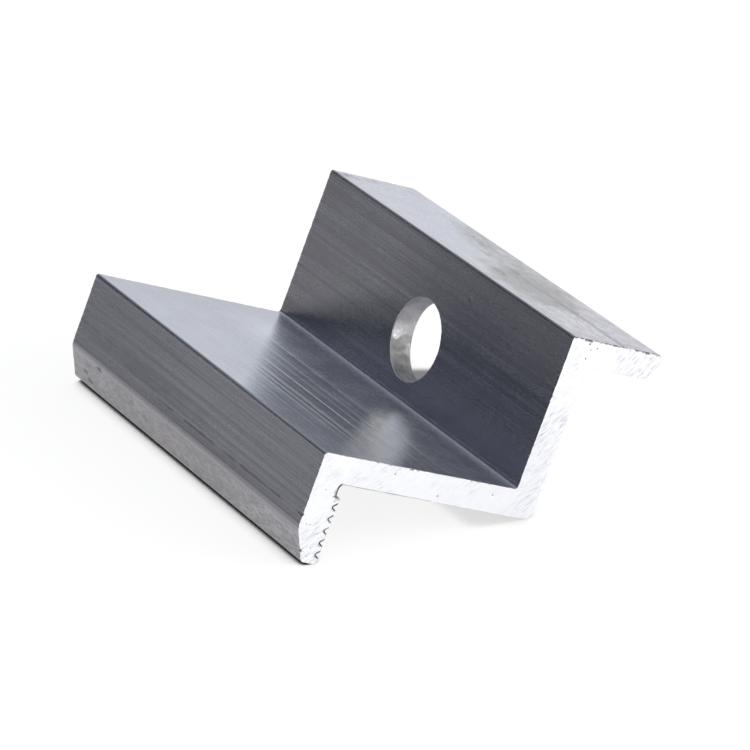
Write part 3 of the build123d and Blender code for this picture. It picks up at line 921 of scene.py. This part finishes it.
materials = [mill_material(), sawn_material(), bore_material()]
for m in materials:
    clamp.data.materials.append(m)
    cutter.data.materials.append(m)

mod = clamp.modifiers.new("hole", "BOOLEAN")
mod.operation, mod.object, mod.solver = "DIFFERENCE", cutter, "MANIFOLD"
dg = bpy.context.evaluated_depsgraph_get()
cut = bpy.data.meshes.new_from_object(clamp.evaluated_get(dg))
clamp.modifiers.clear()
old = clamp.data
clamp.data = cut
cut.name = "solar_end_clamp"
bpy.data.meshes.remove(old)
bpy.data.objects.remove(cutter)
bpy.data.meshes.remove(cut_mesh)

# ---- shading: smooth, with sharp edges --------------------------------------
mesh = clamp.data
nv = len(mesh.vertices)
co = np.zeros(nv * 3, np.float32)
mesh.vertices.foreach_get("co", co)
co = co.reshape(-1, 3).astype(float) / MM - SHIFT
sx = co[:, 0] * COS - co[:, 2] * SIN
sz = co[:, 0] * SIN + co[:, 2] * COS
sy = co[:, 1]
mesh.polygons.foreach_set("use_smooth", np.ones(len(mesh.polygons), bool))
mesh.set_sharp_from_angle(angle=math.radians(32))
# the hole's rim and the sawn edges are sharp too, wherever two finishes meet
kind = np.zeros(len(mesh.polygons), np.int32)
mesh.polygons.foreach_get("material_index", kind)
start = np.zeros(len(mesh.polygons), np.int32)
total_loops = np.zeros(len(mesh.polygons), np.int32)
mesh.polygons.foreach_get("loop_start", start)
mesh.polygons.foreach_get("loop_total", total_loops)
loop_edge = np.zeros(len(mesh.loops), np.int32)
mesh.loops.foreach_get("edge_index", loop_edge)
loop_kind = np.repeat(kind, total_loops)
low, high = np.full(len(mesh.edges), 99), np.full(len(mesh.edges), -1)
np.minimum.at(low, loop_edge, loop_kind)
np.maximum.at(high, loop_edge, loop_kind)
sharp = np.zeros(len(mesh.edges), bool)
att = mesh.attributes.get("sharp_edge") or mesh.attributes.new("sharp_edge", "BOOLEAN", "EDGE")
att.data.foreach_get("value", sharp)
att.data.foreach_set("value", sharp | (low != high))
print("clamp mesh", nv, len(mesh.polygons), [m.name if m else None for m in mesh.materials])

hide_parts("end_clamp")
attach(clamp, "root")

# =============================================================================
# Camera, at the photograph's viewing angle
# =============================================================================
FOCAL = 5122.79                      # pixels, for a picture 750 wide
right = Vector((0.87425, -0.48458, 0.02963))
down = Vector((-0.16906, -0.36107, -0.91709))
forward = Vector((0.45510, 0.79675, -0.39759))
ahead = (forward - (0.5 / FOCAL) * right - (0.5 / FOCAL) * down).normalized()
right = (right - right.dot(ahead) * ahead).normalized()
up = right.cross(ahead).normalized()
cam_data = bpy.data.cameras.new("camera")
cam_data.sensor_width = 36.0
cam_data.lens = FOCAL * 36.0 / 750.0
cam_data.clip_start, cam_data.clip_end = 0.01, 50.0
camera = bpy.data.objects.new("camera", cam_data)
bpy.context.scene.collection.objects.link(camera)
camera.matrix_world = Matrix((
    (right[0], up[0], -ahead[0], -0.23693),
    (right[1], up[1], -ahead[1], -0.41817),
    (right[2], up[2], -ahead[2], 0.21503),
    (0, 0, 0, 1)))
bpy.context.scene.camera = camera

# =============================================================================
# Plain pale floor and soft studio light
# =============================================================================
floor_mesh = bpy.data.meshes.new("floor")
S = 6.0
floor_mesh.from_pydata([(-S, -S, 0), (S, -S, 0), (S, S, 0), (-S, S, 0)], [], [(0, 1, 2, 3)])
floor = bpy.data.objects.new("floor", floor_mesh)
bpy.context.scene.collection.objects.link(floor)
fm = bpy.data.materials.new("floor_pale")
fm.use_nodes = True
ft = Tree(fm.node_tree)
for n in list(ft.n):
    ft.n.remove(n)
fo = ft.add("ShaderNodeOutputMaterial")
under = ft.add("ShaderNodeAmbientOcclusion", samples=8)
under.inputs["Distance"].default_value = 0.0028
round_about = ft.add("ShaderNodeAmbientOcclusion", samples=8)
round_about.inputs["Distance"].default_value = 0.012
pale = ft.add("ShaderNodeBsdfDiffuse")
pale.inputs["Color"].default_value = (0.16, 0.16, 0.16, 1)
glowing = ft.add("ShaderNodeEmission")
glowing.inputs["Color"].default_value = (1, 1, 1, 1)
where = ft.add("ShaderNodeNewGeometry")
across = ft.add("ShaderNodeSeparateXYZ")
ft.link(where.outputs["Position"], across.inputs[0])
# the contact is darkest along the lip, and the wedge under the web is in shade
touch = ft.math("MAXIMUM", ft.remap(under.outputs["AO"], 0.26, 0.62, 0.0, 0.93), ft.remap(across.outputs[0], -0.012, -0.003, 0.0, 0.70))
slope = ft.math("MULTIPLY_ADD", across.outputs[1], 2.136, across.outputs[0])
wedge = ft.math("MAXIMUM", ft.remap(across.outputs[0], 0.0085, 0.0152, 1.0, 0.0), ft.remap(slope, 0.0384, 0.0424, 1.0, 0.0))
wedge = ft.math("MULTIPLY", ft.math("MULTIPLY", wedge, ft.remap(across.outputs[0], 0.002, 0.008)),
                ft.math("MULTIPLY", ft.remap(ft.math("MULTIPLY_ADD", across.outputs[0], -1.317, across.outputs[1]), -0.033, -0.011),
                        ft.math("MULTIPLY", ft.remap(across.outputs[1], 0.015, 0.030, 1.0, 0.0), ft.remap(across.outputs[0], 0.0158, 0.0205, 1.0, 0.0))))
lightness = ft.math("MINIMUM", touch, ft.remap(round_about.outputs["AO"], 0.05, 0.60, 0.89, 0.925))
ft.link(ft.math("MULTIPLY", lightness, ft.math("SUBTRACT", 1.0, ft.math("MULTIPLY", wedge, 0.83))), glowing.inputs["Strength"])
both = ft.add("ShaderNodeAddShader")
ft.link(pale.outputs[0], both.inputs[0])
ft.link(glowing.outputs[0], both.inputs[1])
grey_floor = ft.add("ShaderNodeBsdfDiffuse")
grey_floor.inputs["Color"].default_value = (0.36, 0.36, 0.36, 1)
# for other rays the floor is a little lit by itself, more to the right
side_light = ft.add("ShaderNodeEmission")
lit = ft.mix(ft.remap(across.outputs[0], 0.015, 0.060), (0.200, 0.192, 0.222, 1), (0.61, 0.565, 0.545, 1))
by_lip = ft.math("MULTIPLY", ft.remap(across.outputs[0], -0.034, -0.026), ft.remap(across.outputs[0], -0.014, -0.008, 1.0, 0.0))
lit = ft.mix(by_lip, lit, (0.355, 0.343, 0.35, 1))
ft.link(lit, side_light.inputs["Color"])
grey = ft.add("ShaderNodeAddShader")
ft.link(grey_floor.outputs[0], grey.inputs[0])
ft.link(side_light.outputs[0], grey.inputs[1])
lp = ft.add("ShaderNodeLightPath")
ms = ft.add("ShaderNodeMixShader")
ft.link(lp.outputs["Is Camera Ray"], ms.inputs[0])
ft.link(grey.outputs[0], ms.inputs[1])
ft.link(both.outputs[0], ms.inputs[2])
ft.link(ms.outputs[0], fo.inputs[0])
floor.data.materials.append(fm)

world = bpy.data.worlds.new("studio")
bpy.context.scene.world = world
world.use_nodes = True
wt = Tree(world.node_tree)
for n in list(wt.n):
    wt.n.remove(n)
wo = wt.add("ShaderNodeOutputWorld")
wc = wt.add("ShaderNodeTexCoord")
direction = wc.outputs["Generated"]


def glow(d, wide, core, colour):
    """Soft patch of light in the direction d, fading from core to wide degrees."""
    v = Vector(d).normalized()
    dot = wt.add("ShaderNodeVectorMath", operation="DOT_PRODUCT")
    wt.link(direction, dot.inputs[0])
    dot.inputs[1].default_value = v
    k = wt.remap(dot.outputs["Value"], math.cos(math.radians(wide)), math.cos(math.radians(core)))
    node = wt.add("ShaderNodeVectorMath", operation="SCALE")
    node.inputs[0].default_value = colour
    wt.link(k, node.inputs["Scale"])
    return node.outputs[0]


def plus(a, b):
    node = wt.add("ShaderNodeVectorMath", operation="ADD")
    wt.put(node.inputs[0], a); wt.put(node.inputs[1], b)
    return node.outputs[0]


# A tent of light around the clamp's length: bright low on the right, fading over
# the top to dark on the left. The ramp runs over the angle about the Y axis.
TENT = [
    (0, 0.93, 0.98, 1.11), (15, 0.70, 0.77, 0.89), (30, 0.50, 0.53, 0.60), (45, 0.67, 0.71, 0.755),
    (60, 0.78, 0.815, 0.82), (75, 0.61, 0.637, 0.61), (90, 0.325, 0.343, 0.368), (105, 0.195, 0.212, 0.297),
    (120, 0.163, 0.186, 0.292), (135, 0.0, 0.0, 0.012), (150, 0.0, 0.0, 0.0), (180, 0.0, 0.0, 0.0),
]
sep = wt.add("ShaderNodeSeparateXYZ")
wt.link(direction, sep.inputs[0])
turn = wt.math("MULTIPLY", wt.math("ARCTAN2", sep.outputs[2], sep.outputs[0]), 1 / math.pi)
ramp = wt.add("ShaderNodeValToRGB")
wt.link(turn, ramp.inputs[0])
ramp.color_ramp.interpolation = "LINEAR"
stops = ramp.color_ramp.elements
for i, (deg, r, g, b) in enumerate(TENT):
    e = stops[i] if i < 2 else stops.new(deg / 180)
    e.position = deg / 180
for e, (deg, r, g, b) in zip(stops, TENT):
    e.position = deg / 180
    e.color = (r / 1.2, g / 1.2, b / 1.2, 1)
pole = wt.remap(wt.math("ABSOLUTE", sep.outputs[1]), 0.93, 0.99)
tent = wt.mix(pole, ramp.outputs[0], (0.45, 0.47, 0.52, 1))
node = wt.add("ShaderNodeVectorMath", operation="SCALE")
wt.link(tent, node.inputs[0])
node.inputs["Scale"].default_value = 1.2
total = plus(node.outputs[0], glow((0.75, -0.64, 0.12), 40, 8, (5.55, 5.55, 5.45)))    # front right, for the sawn end
total = plus(total, glow((-0.82, -0.55, 0.09), 18, 5, (3.0, 3.0, 3.0)))               # left, small, for the hole's rim
bg = wt.add("ShaderNodeBackground")
wt.link(total, bg.inputs["Color"])
white = wt.add("ShaderNodeBackground")
white.inputs["Color"].default_value = (1, 1, 1, 1)
wl = wt.add("ShaderNodeLightPath")
wm = wt.add("ShaderNodeMixShader")
wt.link(wl.outputs["Is Camera Ray"], wm.inputs[0])
wt.link(bg.outputs[0], wm.inputs[1])
wt.link(white.outputs[0], wm.inputs[2])
wt.link(wm.outputs[0], wo.inputs[0])

scene = bpy.context.scene
scene.view_settings.view_transform = "Standard"
scene.view_settings.look = "None"
scene.view_settings.exposure = 0.0
scene.view_settings.gamma = 1.0
scene.cycles.caustics_reflective = False
scene.cycles.caustics_refractive = False

bpy.context.view_layer.update()
